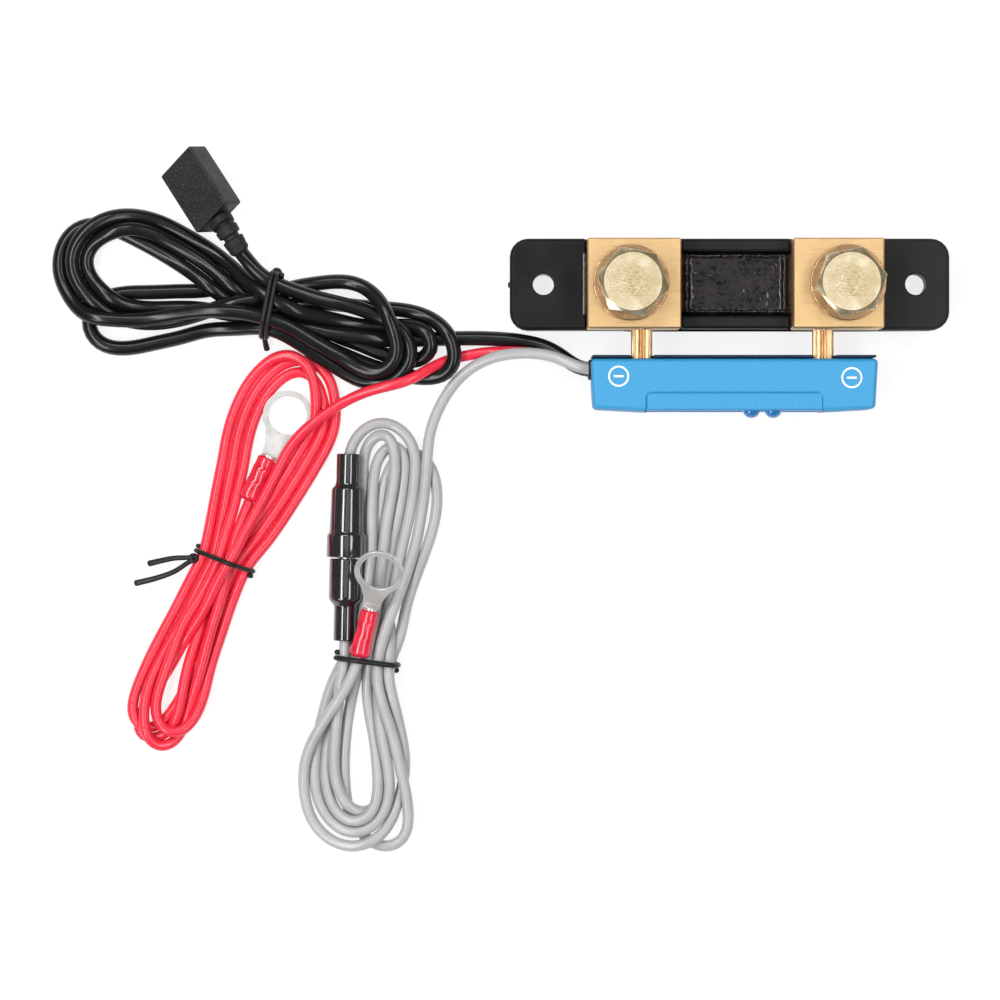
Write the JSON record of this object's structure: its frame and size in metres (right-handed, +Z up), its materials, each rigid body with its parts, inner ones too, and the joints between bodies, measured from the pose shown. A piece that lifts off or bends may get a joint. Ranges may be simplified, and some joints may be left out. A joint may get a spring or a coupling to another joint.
{
  "type": "battery monitor shunt",
  "caption": "Bar shunt with two hexagon bolts on a moulded base, an electronics housing beside it, and data, supply and fused sense cords.",
  "frame": {"origin": "centre of the moulded base's underside", "axes": "+X along the shunt from the load terminal to the battery terminal, +Y away from the electronics housing, +Z up"},
  "size_m": [0.2444, 0.1932, 0.031],
  "materials": {
    "moulded_black": "satin moulded thermoset, fine pebble",
    "block_brass": "brushed along the bar",
    "bolt_brass": "turned, bright",
    "spacer_brass": "knurled",
    "resistance_alloy": "manganin strip, dull",
    "coating": "glossy poured lacquer",
    "screw_steel": "zinc plated",
    "housing_blue": "satin, finely textured",
    "plate_navy": "satin",
    "rubber_black": "matt",
    "board_green": "solder mask",
    "chip_black": "moulded epoxy",
    "led_blue": "clear tinted lens",
    "cord_black": "satin vinyl",
    "tie_black": "vinyl coated wire",
    "contact_gold": "gold flash",
    "cord_red": "satin vinyl",
    "tinned_copper": "tinned, stamped",
    "sleeve_red": "glossy crimp sleeve",
    "cord_grey": "satin vinyl",
    "fuse_glass": "clear",
    "nickel": "nickel plated"
  },
  "bodies": {
    "shunt": {"base": "moulded_black", "load_block": "block_brass", "battery_block": "block_brass", "resistance_strip_1": "resistance_alloy", "resistance_strip_2": "resistance_alloy", "resistance_strip_3": "resistance_alloy", "element_coating": "coating", "load_block_screw_rear": "screw_steel", "load_block_screw_front": "screw_steel", "battery_block_screw_rear": "screw_steel", "battery_block_screw_front": "screw_steel", "load_spacer": "spacer_brass", "battery_spacer": "spacer_brass", "load_sense_screw": "screw_steel", "battery_sense_screw": "screw_steel", "housing_cover": "housing_blue", "housing_back_plate": "plate_navy", "cable_grommet": "rubber_black", "circuit_board": "board_green", "microcontroller": "chip_black", "current_amplifier": "chip_black", "voltage_regulator": "chip_black", "wire_connector": "chip_black", "status_led_left": "led_blue", "status_led_right": "led_blue", "data_lead": "cord_black", "data_hank": "cord_black", "data_tail": "cord_black", "data_tie": "tie_black", "data_strain_relief": "rubber_black", "data_socket_body": "moulded_black", "data_socket_carrier": "chip_black", "data_contact_1": "contact_gold", "data_contact_2": "contact_gold", "data_contact_3": "contact_gold", "data_contact_4": "contact_gold", "supply_lead": "cord_red", "supply_hank": "cord_red", "supply_tail": "cord_red", "supply_tie": "tie_black", "supply_ring_terminal": "tinned_copper", "supply_terminal_sleeve": "sleeve_red", "sense_lead": "cord_grey", "sense_hank": "cord_grey", "sense_arch": "cord_grey", "sense_tail": "cord_grey", "sense_ring_tail": "cord_grey", "sense_tie": "tie_black", "sense_ring_terminal": "tinned_copper", "sense_terminal_sleeve": "sleeve_red", "fuse_body": "moulded_black", "fuse_tube": "fuse_glass", "fuse_end_cap_lower": "nickel", "fuse_end_cap_upper": "nickel", "fuse_spring": "screw_steel"},
    "load_washer": {"load_washer": "bolt_brass"},
    "load_bolt": {"load_bolt": "bolt_brass"},
    "battery_washer": {"battery_washer": "bolt_brass"},
    "battery_bolt": {"battery_bolt": "bolt_brass"},
    "fuse_cap": {"fuse_cap": "moulded_black"}
  },
  "joints": [
    {"name": "load_washer_lift", "type": "slide", "parent": "shunt", "child": "load_washer", "axis": [0, 0, 1], "range_m": [0, 0.0098]},
    {"name": "load_bolt_turn", "type": "hinge", "parent": "load_washer", "child": "load_bolt", "pos_m": [-0.027, -0.0002, 0.0246], "axis": [0, 0, 1], "range_deg": [0, 2160]},
    {"name": "battery_washer_lift", "type": "slide", "parent": "shunt", "child": "battery_washer", "axis": [0, 0, 1], "range_m": [0, 0.0098]},
    {"name": "battery_bolt_turn", "type": "hinge", "parent": "battery_washer", "child": "battery_bolt", "pos_m": [0.0316, -0.0002, 0.0246], "axis": [0, 0, 1], "range_deg": [0, 2160]},
    {"name": "fuse_cap_twist", "type": "hinge", "parent": "shunt", "child": "fuse_cap", "pos_m": [-0.1052, -0.0975, 0.0055], "axis": [0.0214, 0.9998, 0], "range_deg": [0, 45]}
  ],
  "couplings": [
    {"joint": "load_washer_lift", "follows": "load_bolt_turn", "m_per_rad": 0.00023873},
    {"joint": "battery_washer_lift", "follows": "battery_bolt_turn", "m_per_rad": 0.00023873}
  ]
}
